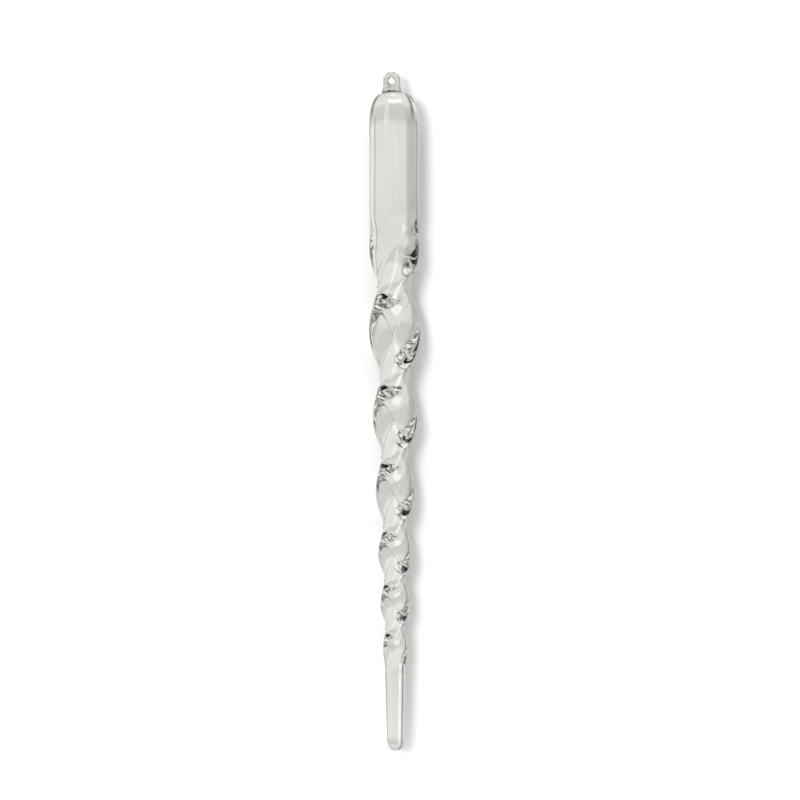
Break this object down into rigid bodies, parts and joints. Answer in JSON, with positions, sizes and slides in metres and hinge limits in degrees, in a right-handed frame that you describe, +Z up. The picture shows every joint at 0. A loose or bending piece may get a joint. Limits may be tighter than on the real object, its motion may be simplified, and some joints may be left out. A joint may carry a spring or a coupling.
{
  "type": "icicle hanging ornament",
  "caption": "Clear glass icicle with a smooth barrel, a flattened twist that narrows downwards, a plain rounded tip and a small hanging loop.",
  "frame": {"origin": "centre of the hanging loop's eye", "axes": "+Z up as the ornament hangs, +Y along the eye's axis and away from the viewer of the front, +X to the right"},
  "size_m": [0.0212, 0.0218, 0.2799],
  "materials": {
    "body_glass": "clear, fire polished, colourless with a faint warm grey",
    "loop_glass": "clear, worked by hand, uneven"
  },
  "bodies": {
    "root": {"icicle_body": "body_glass", "hanging_loop": "loop_glass"}
  },
  "joints": []
}
